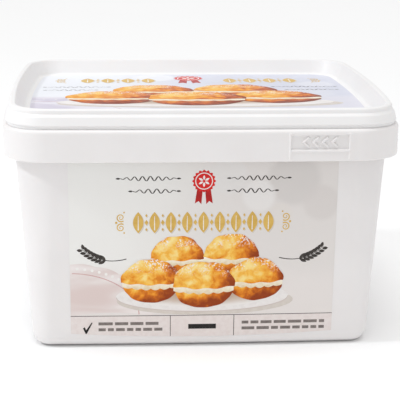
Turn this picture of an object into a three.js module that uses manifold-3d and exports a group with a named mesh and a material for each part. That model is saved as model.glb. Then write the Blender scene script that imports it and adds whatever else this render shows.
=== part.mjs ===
// Lidded food tub: a tapered plastic tub with a deep hanging collar and a pull tab, a push-on lid
// with a sunken panel, and a film label on the front wall and on the lid.
// Millimetres, +Z up. The origin is the middle of the footprint, and the front faces -Y.

import * as THREE from "three";
import { mergeVertices } from "three/addons/utils/BufferGeometryUtils.js";
import Module from "manifold-3d";

// Overall size, over the collar and up to the rim of the lid
const WIDTH = 200;
const DEPTH = 176;
const HEIGHT = 123.4;

// How far the middle of a side stands out past its ends
const FRONT_BOW = 1.7;
const SIDE_BOW = 4.5;

// Insets are measured inwards from the overall outline at the middle of a side
// Tub wall, which leans outwards, and the foot that it stands on
const WALL_INSET_BASE = 12.6;
const WALL_INSET_COLLAR = 5.6;
const WALL_CORNER_BASE = 9;
const WALL_CORNER_COLLAR = 20.6;
const BASE_FILLET = 6.8;
const FOOT_WIDTH = 9;
const BASE_RECESS = 1.2;

// Collar that hangs outside the wall, open below
const COLLAR_BOTTOM = 98.2;
const COLLAR_SHOULDER = 111.9;
const COLLAR_BEAD = 2;
const COLLAR_CORNER = 22.8;
const COLLAR_THICKNESS = 1.6;
const COLLAR_EDGE = 0.4;
const COLLAR_GAP_TOP = 109.2;
const COLLAR_TOP_WIDTH = 4.6;
const TUB_TOP = 111;

// Lid: plug, seat on the collar, skirt, stepped shoulder, rim and sunken panel
const LID_CLEARANCE = 0.3;
const LID_CORNER = 19.3;
const LID_PLUG_INSET = 6.1;
const LID_SEAT_INSET = 2.1;
const LID_SKIRT_INSET = 1.3;
const LID_SKIRT_BOTTOM = 115.6;
const LID_SKIRT_EDGE = 0.35;
const LID_FACE_TOP = 119.7;
const LID_FACE_LEAN = 1.1;
const LID_SHOULDER_WIDTH = 0.9;
const LID_SHOULDER_RISE = 1.35;
const LID_RIM_INSET = 3.5;
const LID_RIM_WIDTH = 3.2;
const LID_RIM_ROUND = 1;
const LID_WELL_TILT = THREE.MathUtils.degToRad(28);
const LID_WELL_FILLET = 2;
const LID_WELL_CORNER = 12.5;
const LID_PANEL = 115.2;

// Pull tab in the front of the collar, right of the middle
const TAB_LEFT = 40.5;
const TAB_RIGHT = 70.4;
const TAB_FLOOR = 104;
const TAB_TOP = 111.2;
const TAB_RECESS = 0.9;
const TAB_RIDGE_WIDTH = 0.9;
const TAB_RIDGE_HEIGHT = 0.22;
const TAB_ROOT = 1.2;
const CHEVRON_COUNT = 4;
const CHEVRON_PITCH = 4.6;
const CHEVRON_WIDTH = 3.4;
const CHEVRON_HEIGHT = 5;
const CHEVRON_STROKE = 1.3;
const CHEVRON_RELIEF = 0.5;
const CHEVRON_ROOT = 0.3;

// Film labels
const FILM_GAP = 0.12;
const FILM_THICKNESS = 0.3;
const FRONT_LABEL_HALF_WIDTH = 65.8;
const FRONT_LABEL_BOTTOM = 5.7;
const FRONT_LABEL_END_RISE = 2;
const FRONT_LABEL_TOP = 100.2;
const LID_LABEL_INSET = 13;
const LID_LABEL_CORNER = 12;

// Steps along the sides, the corners and the round edges
const FRONT_STEPS = 5;
const CORNER_STEPS = 8;
const SIDE_STEPS = 4;
const ROUND_STEPS = 4;
const LABEL_COLUMNS = 24;
const LABEL_ROWS = 4;

// Colours and finish
const TUB_COLOUR = 0xf1f0ee;
const LID_COLOUR = 0xf4f3f2;
const FRONT_LABEL_COLOUR = 0xe9e6e3;
const LID_LABEL_COLOUR = 0xe6e4ea;
const PLASTIC_ROUGHNESS = 0.4;
const FILM_ROUGHNESS = 0.35;

const HALF_WIDTH = WIDTH / 2;
const HALF_DEPTH = DEPTH / 2;
const LEVEL = 0;
const UPWARD = Math.PI / 2;
const DOWNWARD = -Math.PI / 2;

const wasm = await Module();
wasm.setup();

// Radius of the flat arc that bows a side of the given half length
function bowRadius(halfLength, bow) {
  return (halfLength ** 2 + bow ** 2) / (2 * bow);
}

// Centre of the front right corner arc, which touches the front arc and the side arc from inside
function cornerCentre(frontCentre, frontReach, sideCentre, sideReach) {
  const span = frontCentre.distanceTo(sideCentre);
  const toSide = sideCentre.clone().sub(frontCentre).normalize();
  const along = (frontReach ** 2 - sideReach ** 2 + span ** 2) / (2 * span);
  const across = Math.sqrt(frontReach ** 2 - along ** 2);
  const outward = new THREE.Vector2(-toSide.y, toSide.x);
  return frontCentre.clone().addScaledVector(toSide, along).addScaledVector(outward, across);
}

// Points of an arc about a centre, without its first point
function arcPoints(centre, radius, from, to, steps) {
  const points = [];
  for (let step = 1; step <= steps; step += 1) {
    const angle = THREE.MathUtils.lerp(from, to, step / steps);
    points.push(new THREE.Vector2(Math.cos(angle), Math.sin(angle)).multiplyScalar(radius).add(centre));
  }
  return points;
}

// Bowed rectangle with round corners, counter-clockwise seen from above
function outline(inset, cornerRadius) {
  const frontRadius = bowRadius(HALF_WIDTH, FRONT_BOW);
  const sideRadius = bowRadius(HALF_DEPTH, SIDE_BOW);
  const frontCentre = new THREE.Vector2(0, frontRadius - HALF_DEPTH);
  const sideCentre = new THREE.Vector2(HALF_WIDTH - sideRadius, 0);
  const corner = cornerCentre(
    frontCentre,
    frontRadius - inset - cornerRadius,
    sideCentre,
    sideRadius - inset - cornerRadius,
  );
  const frontEnd = corner.clone().sub(frontCentre).angle() - 2 * Math.PI;
  const sideStart = corner.clone().sub(sideCentre).angle() - 2 * Math.PI;
  const quarter = [
    new THREE.Vector2(0, inset - HALF_DEPTH),
    ...arcPoints(frontCentre, frontRadius - inset, DOWNWARD, frontEnd, FRONT_STEPS),
    ...arcPoints(corner, cornerRadius, frontEnd, sideStart, CORNER_STEPS),
    ...arcPoints(sideCentre, sideRadius - inset, sideStart, LEVEL, SIDE_STEPS),
  ];
  const ahead = quarter.slice(1);
  const back = quarter.slice(0, -1).reverse();
  return [
    ...ahead,
    ...back.map((point) => new THREE.Vector2(point.x, -point.y)),
    ...ahead.map((point) => new THREE.Vector2(-point.x, -point.y)),
    ...back.map((point) => new THREE.Vector2(-point.x, point.y)),
  ];
}

// Profile points of a round edge; an angle of zero faces outwards and a right angle upwards
function roundEdge(inset, z, radius, from, to) {
  const points = [];
  for (let step = 0; step <= ROUND_STEPS; step += 1) {
    const angle = THREE.MathUtils.lerp(from, to, step / ROUND_STEPS);
    points.push({ inset: inset - radius * Math.cos(angle), z: z + radius * Math.sin(angle) });
  }
  return points;
}

function indexedGeometry(positions, triangles) {
  const geometry = new THREE.BufferGeometry();
  geometry.setAttribute("position", new THREE.Float32BufferAttribute(positions, 3));
  geometry.setIndex(triangles);
  geometry.computeVertexNormals();
  return geometry;
}

// Closed solid through the outlines of a profile, from its underside to its top, both ends flat
function loft(profile, cornerAt) {
  const rings = profile.map((point) => outline(point.inset, cornerAt(point)));
  const count = rings[0].length;
  const last = rings.length - 1;
  const positions = [];
  rings.forEach((ring, level) => {
    ring.forEach((point) => positions.push(point.x, point.y, profile[level].z));
  });
  const underside = positions.length / 3;
  const top = underside + 1;
  positions.push(0, 0, profile[0].z);
  positions.push(0, 0, profile[last].z);
  const triangles = [];
  for (let here = 0; here < count; here += 1) {
    const next = (here + 1) % count;
    triangles.push(underside, next, here);
    triangles.push(last * count + here, last * count + next, top);
    for (let level = 0; level < last; level += 1) {
      const low = level * count;
      const high = low + count;
      triangles.push(low + here, low + next, high + next);
      triangles.push(low + here, high + next, high + here);
    }
  }
  return indexedGeometry(positions, triangles);
}

// Closed thin sheet between two surfaces given as functions of a column and a row from 0 to 1
function sheet(outerAt, innerAt, columns, rows) {
  const positions = [];
  const stride = columns + 1;
  const layer = stride * (rows + 1);
  [outerAt, innerAt].forEach((pointAt) => {
    for (let row = 0; row <= rows; row += 1) {
      for (let column = 0; column <= columns; column += 1) {
        positions.push(...pointAt(column / columns, row / rows).toArray());
      }
    }
  });
  const triangles = [];
  for (let row = 0; row < rows; row += 1) {
    for (let column = 0; column < columns; column += 1) {
      const a = row * stride + column;
      const b = a + 1;
      const c = b + stride;
      const d = a + stride;
      triangles.push(a, b, c, a, c, d);
      triangles.push(layer + a, layer + c, layer + b, layer + a, layer + d, layer + c);
    }
  }
  const border = [];
  for (let column = 0; column < columns; column += 1) {
    border.push(column);
  }
  for (let row = 0; row < rows; row += 1) {
    border.push(row * stride + columns);
  }
  for (let column = columns; column > 0; column -= 1) {
    border.push(rows * stride + column);
  }
  for (let row = rows; row > 0; row -= 1) {
    border.push(row * stride);
  }
  border.forEach((here, place) => {
    const next = border[(place + 1) % border.length];
    triangles.push(here, layer + here, layer + next);
    triangles.push(here, layer + next, next);
  });
  return indexedGeometry(positions, triangles);
}

// Solid for cutting and joining, from a closed geometry
function solidOf(geometry) {
  const bare = geometry.clone();
  bare.deleteAttribute("normal");
  bare.deleteAttribute("uv");
  const merged = mergeVertices(bare);
  const vertProperties = new Float32Array(merged.attributes.position.array);
  const triVerts = new Uint32Array(merged.index.array);
  return new wasm.Manifold(new wasm.Mesh({ numProp: 3, vertProperties, triVerts }));
}

function geometryOf(solid) {
  const mesh = solid.getMesh();
  return indexedGeometry(Array.from(mesh.vertProperties), Array.from(mesh.triVerts));
}

function wallInset(z) {
  return THREE.MathUtils.lerp(WALL_INSET_BASE, WALL_INSET_COLLAR, z / COLLAR_BOTTOM);
}

function wallCorner(z) {
  return THREE.MathUtils.lerp(WALL_CORNER_BASE, WALL_CORNER_COLLAR, z / COLLAR_BOTTOM);
}

// Tub body, filled to its top: foot, wall, gap under the collar, collar and its rounded bead
function tubBody() {
  const draft = Math.atan((WALL_INSET_BASE - WALL_INSET_COLLAR) / COLLAR_BOTTOM);
  const filletInset = WALL_INSET_BASE + BASE_FILLET * (1 / Math.cos(draft) - Math.tan(draft));
  const footInset = filletInset + FOOT_WIDTH;
  const base = [
    { inset: footInset + BASE_RECESS, z: BASE_RECESS, corner: BASE_FILLET },
    { inset: footInset, z: 0, corner: BASE_FILLET },
    ...roundEdge(filletInset, BASE_FILLET, BASE_FILLET, DOWNWARD, -draft).map((point) => ({
      ...point,
      corner: WALL_CORNER_BASE + WALL_INSET_BASE - point.inset,
    })),
  ];
  const wall = [COLLAR_BOTTOM, COLLAR_GAP_TOP].map((z) => ({
    inset: wallInset(z),
    z,
    corner: wallCorner(z),
  }));
  const collar = [
    { inset: COLLAR_THICKNESS, z: COLLAR_GAP_TOP },
    { inset: COLLAR_THICKNESS, z: COLLAR_BOTTOM + COLLAR_EDGE },
    { inset: COLLAR_THICKNESS - COLLAR_EDGE, z: COLLAR_BOTTOM },
    { inset: COLLAR_EDGE, z: COLLAR_BOTTOM },
    { inset: 0, z: COLLAR_BOTTOM + COLLAR_EDGE },
    ...roundEdge(COLLAR_BEAD, COLLAR_SHOULDER, COLLAR_BEAD, LEVEL, UPWARD),
    { inset: COLLAR_TOP_WIDTH, z: COLLAR_SHOULDER + COLLAR_BEAD },
    { inset: COLLAR_TOP_WIDTH, z: TUB_TOP },
  ].map((point) => ({ ...point, corner: COLLAR_CORNER - point.inset }));
  return loft([...base, ...wall, ...collar], (point) => point.corner);
}

// Places pieces of the tab: x along the collar, y into it and z up, from the collar's front face
function tabPlacement() {
  const middle = (TAB_LEFT + TAB_RIGHT) / 2;
  const radius = bowRadius(HALF_WIDTH, FRONT_BOW);
  const turn = Math.asin(middle / radius);
  const front = radius - HALF_DEPTH - radius * Math.cos(turn);
  return new THREE.Matrix4().makeRotationZ(turn).setPosition(middle, front, 0);
}

function tabBox(left, right, near, far, bottom, top) {
  const box = new THREE.BoxGeometry(right - left, far - near, top - bottom);
  return box.translate((left + right) / 2, (near + far) / 2, (bottom + top) / 2);
}

// Chevron that points along the collar towards the middle, standing on the tab's sunken face
function chevron(centreX) {
  const half = CHEVRON_WIDTH / 2;
  const rise = CHEVRON_HEIGHT / 2;
  const shape = new THREE.Shape([
    new THREE.Vector2(-half, 0),
    new THREE.Vector2(half - CHEVRON_STROKE, -rise),
    new THREE.Vector2(half, -rise),
    new THREE.Vector2(CHEVRON_STROKE - half, 0),
    new THREE.Vector2(half, rise),
    new THREE.Vector2(half - CHEVRON_STROKE, rise),
  ]);
  const geometry = new THREE.ExtrudeGeometry(shape, {
    depth: CHEVRON_RELIEF + CHEVRON_ROOT,
    bevelEnabled: false,
  });
  geometry.rotateX(UPWARD);
  return geometry.translate(centreX, TAB_RECESS + CHEVRON_ROOT, (TAB_FLOOR + TAB_TOP) / 2);
}

// Tub with the sunken tab, the ridges that frame it and its raised chevrons
function tubGeometry() {
  const placement = tabPlacement();
  const placed = (geometry) => solidOf(geometry.applyMatrix4(placement));
  const half = (TAB_RIGHT - TAB_LEFT) / 2;
  const inner = half - TAB_RIDGE_WIDTH;
  const ridgeBottom = COLLAR_BOTTOM + 2 * COLLAR_EDGE;
  const recess = tabBox(-inner, inner, -TAB_ROOT, TAB_RECESS, TAB_FLOOR, TAB_TOP);
  const ridges = [
    tabBox(-half, -inner, -TAB_RIDGE_HEIGHT, TAB_ROOT, ridgeBottom, COLLAR_SHOULDER),
    tabBox(inner, half, -TAB_RIDGE_HEIGHT, TAB_ROOT, ridgeBottom, COLLAR_SHOULDER),
    tabBox(-half, half, -TAB_RIDGE_HEIGHT, TAB_ROOT, TAB_FLOOR - TAB_RIDGE_WIDTH, TAB_FLOOR),
  ];
  const firstChevron = -((CHEVRON_COUNT - 1) / 2) * CHEVRON_PITCH;
  let tub = solidOf(tubBody()).subtract(placed(recess));
  ridges.forEach((ridge) => {
    tub = tub.add(placed(ridge));
  });
  for (let place = 0; place < CHEVRON_COUNT; place += 1) {
    tub = tub.add(placed(chevron(firstChevron + place * CHEVRON_PITCH)));
  }
  return geometryOf(tub);
}

// Lid: the plug in the tub's mouth, the seat on the collar, the skirt and stepped shoulder, the rim
// and the sunken panel
function lidGeometry() {
  const rimOuter = LID_RIM_INSET + LID_RIM_ROUND;
  const rimInner = LID_RIM_INSET + LID_RIM_WIDTH - LID_RIM_ROUND;
  const rimLevel = HEIGHT - LID_RIM_ROUND;
  const wellTop = roundEdge(rimInner, rimLevel, LID_RIM_ROUND, UPWARD, Math.PI - LID_WELL_TILT);
  const wellStart = wellTop[wellTop.length - 1];
  const filletLevel = LID_PANEL + LID_WELL_FILLET;
  const wellDrop = wellStart.z - (filletLevel - LID_WELL_FILLET * Math.sin(LID_WELL_TILT));
  const wellFoot = wellStart.inset + wellDrop * Math.tan(LID_WELL_TILT);
  const filletInset = wellFoot + LID_WELL_FILLET * Math.cos(LID_WELL_TILT);
  const faceTop = LID_SKIRT_INSET + LID_FACE_LEAN;
  const profile = [
    { inset: LID_PLUG_INSET, z: TUB_TOP + LID_CLEARANCE },
    { inset: LID_PLUG_INSET, z: COLLAR_SHOULDER + COLLAR_BEAD + LID_CLEARANCE },
    { inset: LID_SEAT_INSET, z: COLLAR_SHOULDER + COLLAR_BEAD + LID_CLEARANCE },
    { inset: LID_SEAT_INSET, z: LID_SKIRT_BOTTOM },
    { inset: LID_SKIRT_INSET + LID_SKIRT_EDGE, z: LID_SKIRT_BOTTOM },
    { inset: LID_SKIRT_INSET, z: LID_SKIRT_BOTTOM + LID_SKIRT_EDGE },
    { inset: faceTop, z: LID_FACE_TOP },
    { inset: faceTop + LID_SHOULDER_WIDTH, z: LID_FACE_TOP + LID_SHOULDER_RISE },
    ...roundEdge(rimOuter, rimLevel, LID_RIM_ROUND, LEVEL, UPWARD),
    ...wellTop,
    ...roundEdge(filletInset, filletLevel, LID_WELL_FILLET, -LID_WELL_TILT, DOWNWARD),
  ];
  const cornerAt = (point) => {
    const inward = THREE.MathUtils.clamp((point.inset - rimOuter) / (filletInset - rimOuter), 0, 1);
    return THREE.MathUtils.lerp(LID_CORNER, LID_WELL_CORNER, inward);
  };
  return loft(profile, cornerAt);
}

// Point at a height above the front wall's surface
function frontWallPoint(x, z, height) {
  const radius = bowRadius(HALF_WIDTH, FRONT_BOW);
  const wallRadius = radius - wallInset(z) + height;
  return new THREE.Vector3(x, radius - HALF_DEPTH - Math.sqrt(wallRadius ** 2 - x ** 2), z);
}

// Film on the front wall, its top edge tucked up behind the collar
function frontLabelGeometry() {
  const pointAt = (height) => (across, up) => {
    const side = 2 * across - 1;
    const bottom = FRONT_LABEL_BOTTOM + FRONT_LABEL_END_RISE * side ** 2;
    const z = THREE.MathUtils.lerp(bottom, FRONT_LABEL_TOP, up);
    return frontWallPoint(side * FRONT_LABEL_HALF_WIDTH, z, height);
  };
  return sheet(pointAt(FILM_GAP + FILM_THICKNESS), pointAt(FILM_GAP), LABEL_COLUMNS, LABEL_ROWS);
}

// Film on the lid's sunken panel
function lidLabelGeometry() {
  const profile = [
    { inset: LID_LABEL_INSET, z: LID_PANEL + FILM_GAP },
    { inset: LID_LABEL_INSET, z: LID_PANEL + FILM_GAP + FILM_THICKNESS },
  ];
  return loft(profile, () => LID_LABEL_CORNER);
}

function part(name, geometry, colour, roughness) {
  const material = new THREE.MeshStandardMaterial({ color: colour, roughness, metalness: 0 });
  const mesh = new THREE.Mesh(geometry, material);
  mesh.name = name;
  return mesh;
}

const group = new THREE.Group();
group.add(part("tub", tubGeometry(), TUB_COLOUR, PLASTIC_ROUGHNESS));
group.add(part("lid", lidGeometry(), LID_COLOUR, PLASTIC_ROUGHNESS));
group.add(part("front_label", frontLabelGeometry(), FRONT_LABEL_COLOUR, FILM_ROUGHNESS));
group.add(part("lid_label", lidLabelGeometry(), LID_LABEL_COLOUR, FILM_ROUGHNESS));

export default group;
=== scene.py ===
import math
import random

import bpy
import numpy as np
from mathutils import Matrix, Vector
from mathutils.geometry import delaunay_2d_cdt


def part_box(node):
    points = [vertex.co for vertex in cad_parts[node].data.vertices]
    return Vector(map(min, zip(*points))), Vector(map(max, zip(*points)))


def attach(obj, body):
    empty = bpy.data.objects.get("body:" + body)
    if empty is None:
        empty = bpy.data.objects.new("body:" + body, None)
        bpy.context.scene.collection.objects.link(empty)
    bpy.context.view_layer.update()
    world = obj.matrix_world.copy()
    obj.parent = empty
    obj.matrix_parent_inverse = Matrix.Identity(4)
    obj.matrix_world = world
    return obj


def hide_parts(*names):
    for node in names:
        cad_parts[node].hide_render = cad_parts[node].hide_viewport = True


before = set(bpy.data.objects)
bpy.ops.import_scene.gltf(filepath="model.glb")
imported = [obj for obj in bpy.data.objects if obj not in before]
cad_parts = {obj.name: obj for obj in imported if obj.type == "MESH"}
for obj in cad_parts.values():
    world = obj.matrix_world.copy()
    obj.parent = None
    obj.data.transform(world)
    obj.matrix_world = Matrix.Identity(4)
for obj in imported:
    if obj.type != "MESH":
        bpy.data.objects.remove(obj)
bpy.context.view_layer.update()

# Lidded food tub in its studio: moulded white tub and lid, and printed film labels.
# Metres, +Z up, the front facing -Y. The print alone is drawn in millimetres.

MM = 0.001

# Sizes taken from the parts in model.glb
_, tub_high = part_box("tub")
lid_low, lid_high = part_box("lid")
front_low, front_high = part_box("front_label")
_, lid_film_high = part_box("lid_label")
HALF_WIDTH = tub_high.x
HALF_DEPTH = tub_high.y
HEIGHT = lid_high.z
COLLAR_TOP = tub_high.z
LID_BOTTOM = lid_low.z
LID_SKIRT_INSET = HALF_WIDTH - lid_high.x
FRONT_HALF = front_high.x
FRONT_BOTTOM = front_low.z
FRONT_TOP = front_high.z
LID_FILM_INSET = HALF_WIDTH - lid_film_high.x

# Bow of the sides, and the tub's wall and foot
FRONT_BOW = 1.7 * MM
SIDE_BOW = 4.5 * MM
WALL_INSET_BASE = 12.6 * MM
WALL_INSET_COLLAR = 5.6 * MM
WALL_CORNER_BASE = 9 * MM
WALL_CORNER_COLLAR = 20.6 * MM
BASE_FILLET = 6.8 * MM
FOOT_CORNER = 2.7 * MM
FOOT_INSET = 27.9 * MM
FOOT_ROUND = 0.5 * MM
BASE_RECESS = 1.2 * MM
RECESS_SLOPE = 1.3 * MM
RECESS_ROUND = 0.6 * MM
RECESS_MARGIN = 6 * MM

# Collar
COLLAR_BOTTOM = 98.2 * MM
COLLAR_BEAD = 2 * MM
COLLAR_CORNER = 22.8 * MM
COLLAR_THICKNESS = 1.6 * MM
COLLAR_EDGE = 0.7 * MM
COLLAR_TOP_WIDTH = 4.6 * MM
COLLAR_TOP_ROUND = 0.4 * MM
GAP_TOP = 109.2 * MM
GAP_WALL_ROUND = 0.8 * MM
GAP_COLLAR_ROUND = 0.6 * MM
TUB_TOP = 111 * MM

# Lid
LID_CORNER = 19.3 * MM
LID_PLUG_INSET = 6.1 * MM
LID_PLUG_ROUND = 0.2 * MM
LID_SEAT_INSET = 2.1 * MM
LID_SEAT_GAP = 0.04 * MM
LID_SEAT_ROUND = 0.1 * MM
LID_SKIRT_BOTTOM = 115.6 * MM
LID_SKIRT_ROUND_IN = 0.4 * MM
LID_SKIRT_ROUND_OUT = 0.35 * MM
LID_FACE_TOP = 119.7 * MM
LID_FACE_INSET = 2.4 * MM
LID_FACE_ROUND = 0.9 * MM
LID_SHOULDER_TOP = 121.05 * MM
LID_SHOULDER_ROUND = 0.3 * MM
LID_RIM_INSET = 3.5 * MM
LID_RIM_INNER = 6.3 * MM
LID_RIM_ROUND = 1 * MM
LID_WELL_TILT = math.radians(28)
LID_WELL_FILLET = 2 * MM
LID_WELL_CORNER = 12.5 * MM
LID_WELL_CORNER_REACH = 1.2 * MM
LID_PANEL = 115.2 * MM
LID_PANEL_MARGIN = 3 * MM
LID_LABEL_CORNER = 12 * MM

# Pull tab
TAB_LEFT = 40.5 * MM
TAB_RIGHT = 70.4 * MM
TAB_FLOOR = 104 * MM
TAB_TOP = 111.2 * MM
TAB_RECESS = 0.9 * MM
TAB_RIDGE_WIDTH = 0.9 * MM
TAB_RIDGE_HEIGHT = 0.4 * MM
TAB_RIDGE_LIFT = 1 * MM
TAB_SOFTNESS = 0.18 * MM
TAB_MARGIN = 1 * MM
CHEVRON_COUNT = 4
CHEVRON_PITCH = 4.6 * MM
CHEVRON_HALF_WIDTH = 1.2 * MM
CHEVRON_HALF_HEIGHT = 2.1 * MM
CHEVRON_STROKE = 1.15 * MM
CHEVRON_RELIEF = 0.85 * MM

# Films and the ink on them
FRONT_END_RISE = 2 * MM
FILM_GAP = 0.02 * MM
FILM_HEIGHT = 0.07 * MM
INK_STEP = 0.008 * MM
PRINT_MARGIN = 0.3 * MM

# Mesh fineness
CORNER_STEPS = 22
SIDE_STEPS = 8
FRONT_STEPS = 10
STEPS_BEFORE_TAB = 5
STEPS_AFTER_TAB = 2
ROUND_STEP = math.radians(11)
LEVEL_SPACING = 8 * MM
TAB_SPACING = 0.25 * MM
TAB_FINE_MARGIN = 1.5 * MM
FACE_TOLERANCE = 0.01 * MM
COLLAR_SLACK = 0.1 * MM
PROFILE_SLACK = 1 * MM
FILM_COLUMNS = 48
FILM_ROWS = 24

# Ink layers in printing order, from the film up
FIELD, BACKING, DRAWING, OVERPRINT, HIGHLIGHT = range(5)
PLATE_LAYER = 3
PUFF_LAYER = 6
LAYERS_PER_PUFF = 3

# Rosette, in millimetres as all the print that follows
ROSETTE_RADIUS = 5.4
ROSETTE_SCALLOPS = 16
ROSETTE_SCALLOP_DEPTH = 0.38
ROSETTE_RING = 4.1
ROSETTE_RING_WIDTH = 0.45
ROSETTE_RING_TURN = 0.999 * 2 * math.pi
ROSETTE_TAIL = [(0.4, -2), (3.2, -3.2), (4.4, -11.4), (2.6, -10.2), (1.2, -11.8)]
PETALS = 6
PETAL_LENGTH = 2.5
PETAL_WIDTH = 1.1
PETAL_REACH = 1.75

# Garlands
GARLAND_SWING = 1.15
GARLAND_TAPER = 0.6
GARLAND_LINE = 0.28
GARLAND_SWELL = 0.34
GARLAND_LEAF_LENGTH = 2.4
GARLAND_LEAF_WIDTH = 0.9
LONG_GARLAND = {"length": 27, "waves": 7}
SHORT_GARLAND = {"length": 21, "waves": 5}

# Leaf bands: veins from foot to tip
BAND_PITCH = 8.0
BAND_LEAF_LENGTH = 11
BAND_LEAF_WIDTH = 5.2
BAND_LEAF_DROP = 0.5
VEIN_ENDS = (-4, 3.4)
VEIN_WIDTHS = (0.5, 0.25)
LOZENGE_HALF = (0.95, 1.5)
LOZENGE_SPACING = 3.6
LOZENGE_OUTER_SIZE = 0.6
LOZENGE_DROP = 0.4

# Scrolls
SCROLL_RISE = 3.1
SCROLL_START = 0.5 * math.pi
SCROLL_SWEEP = 3.2 * math.pi
SCROLL_INNER = 0.5
SCROLL_GROWTH = 2.1
SCROLL_CURL = 1.2
SCROLL_LINE = 0.35
SCROLL_SWELL = 0.4
SCROLL_DOT = (-1.9, 6.2)
SCROLL_DOT_RADIUS = 0.5
SCROLL_KNOT = (2.6, 0)
SCROLL_KNOT_RADIUS = 0.7

# Wheat sprigs
SPRIG_LENGTH = 24
SPRIG_BEND = 3.4
SPRIG_DROP = 3
STEM_WIDTH = 0.5
STEM_TAPER = 0.25
GRAIN_PAIRS = 7
GRAIN_START = 0.42
GRAIN_STEP = 0.085
GRAIN_LENGTH = 4.3
GRAIN_SHRINK = 0.2
GRAIN_WIDTH = 1.7
GRAIN_REACH = 2.3
GRAIN_SPREAD = math.radians(34)

# Cloths: reaches are shares of the whole cloth's
CLOTH_SCALLOPS = 10
CLOTH_SCALLOP_DEPTH = 0.022
CLOTH_DOTS = 15
CLOTH_DOT_RADIUS = 0.75
CLOTH_DOT_REACH = 0.9
CLOTH_DOT_ENDS = (0.06, 0.94)
CLOTH_STITCH_REACH = 0.81
CLOTH_STITCH_WIDTH = 0.45
CLOTH_STITCH_SKIP = 2

# Plate: half sizes across and up
PLATE_HALF = (46, 8.6)
PLATE_SHADOW_HALF = (47, 8.2)
PLATE_SHADOW_SHIFT = (1.5, -2.2)
PLATE_WELL_HALF = (40, 6.6)
PLATE_WELL_MIDDLE = (0, 0.9)
PLATE_EDGE_HALF = (45.7, 8.4)
PLATE_EDGE_WIDTH = 0.4

# Puffs: the middle and width of each in the heap, and the waves that make them uneven
HEAP = [(-13.5, 20, 29), (15, 20.5, 30), (-27.5, 6.5, 31), (28, 7, 30), (0.5, 4, 33)]
LUMP_WAVES = [(3, 0.6), (5, 0.5), (8, 0.4), (13, 0.3)]
LUMP_PHASE = 6.28
SHELL_LUMPS = 0.02
CAP_LUMPS = 0.035

# Strip along the front label's foot
STRIP_TOP = 17.2
RULE_WIDTH = 0.32
DIVIDER = 16
DIVIDER_LEVELS = (5.9, 11, STRIP_TOP - 0.2)
STRIP_BAR = (-7, 9.8, 7, 12.4)
TICK = [(-2.4, 0.2), (-1.5, 0.9), (-0.7, -0.8), (2.2, 3.6), (2.7, 3.3), (-0.5, -3), (-1, -3)]
TICK_PLACE = (-57.5, 10.4)
TICK_SCALE = 0.95
DASH_ROWS = (9, 12.2)
DASH_SPANS = [(-52, -20), (20, 62)]
DASH_HEIGHT = 1.6
DASH_LENGTHS = (2.4, 7.5)
DASH_GAP = 1.1
DASH_LEAST = 2
DASH_SEED = 4

# Places on the front label: right of the middle and up from the table, mirrored to the left
FRONT_CLOTH = (42, 28)
FRONT_CLOTH_GAP = (0.1, 0.2)
FRONT_ROSETTE = (0, 87.6)
FRONT_BAND = (0, 66.5)
FRONT_BAND_LEAVES = 9
FRONT_LONG_GARLAND = (27, 89)
FRONT_SHORT_GARLAND = (24, 82.6)
FRONT_SCROLL = (40.5, 66.5)
FRONT_SCROLL_SCALE = 0.85
FRONT_SPRIG = (49, 50)
FRONT_SPRIG_SCALE = 0.95
FRONT_SPRIG_TURN = math.radians(14)
FRONT_HEAP = (0, 27.2)
FRONT_HEAP_SCALE = 0.94

# Places on the lid's label: right of its middle and back from it, mirrored to the left
LID_CLOTH = (74, 74)
LID_CLOTH_MARGIN = 1
LID_ROSETTE = (0, 60)
LID_ROSETTE_SCALE = 1.5
LID_BAND_X = 41
LID_BAND_Y = 52
LID_BAND_SCALE = 1.45
LID_BAND_LEAVES = 4
LID_SCROLL = (73, 52)
LID_LONG_GARLAND = (64, 30)
LID_SHORT_GARLAND = (67, 20)
LID_LINE_SCALE = 1.2
LID_HEAP = (0, -19)
LID_HEAP_SCALE = 1.6

# Fineness of the print, and how its shapes are filled with triangles
FILL_SPACING = 4.0
KEEP_INSIDE = 1
MERGE_DISTANCE = 1e-6
LEAST_RISE = 1e-9
LINE_STEPS = 60
EDGE_STEPS = 30
VEIN_STEPS = 12
LEAF_STEPS = 14
DOT_STEPS = 16
OVAL_STEPS = 48
RING_STEPS = 72
BADGE_STEPS = 144
SCROLL_STEPS = 70
CLOTH_STEPS = 120
CAP_STEPS = 56
CURVE_STEPS = 40

# Ink colours, 8-bit: plain inks with their shade, cloth folds and crusts from deep to pale
PLAIN_INKS = {
    "red": [(222, 36, 30), (206, 28, 24)],
    "red_shade": [(184, 26, 24), (170, 20, 20)],
    "gold": [(222, 184, 98), (210, 170, 84)],
    "drop_shadow": [(219, 211, 203), (213, 204, 196)],
    "dark": [(58, 53, 50), (72, 66, 62)],
    "black": [(24, 22, 22), (38, 35, 34)],
    "grey": [(118, 110, 106), (136, 128, 123)],
    "paper": [(246, 243, 240), (238, 234, 231)],
    "strip": [(235, 226, 223), (230, 219, 216)],
    "porcelain": [(240, 236, 234), (233, 228, 226)],
    "porcelain_edge": [(206, 192, 186), (214, 202, 197)],
    "cloth_line": [(205, 160, 158), (212, 172, 170)],
}
CLOTH_INKS = {
    "cloth": [(224, 207, 203), (231, 220, 217), (240, 233, 231)],
    "lilac_cloth": [(206, 200, 216), (227, 223, 233), (238, 236, 243)],
}
CRUST_INKS = {
    "pastry": [(148, 58, 2), (206, 106, 12), (236, 148, 34), (250, 194, 80), (254, 228, 150)],
    # The lid's crust ink is the front's made darker and more saturated: painted shade that offsets the
    # stronger top light and gloss on the lid
    "lid_pastry": [(132, 46, 0), (194, 88, 2), (224, 126, 10), (242, 166, 38), (250, 206, 104)],
}

# Label grounds
GROUND_DRIFT = 40 * MM
GROUND_LEFT = -40 * MM
GROUND_RIGHT = 50 * MM
HORIZON_ABOVE = 6 * MM
HORIZON_BELOW = 8 * MM
DISC_BLUR = 0.2
DISC_COVER = 0.75

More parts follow.
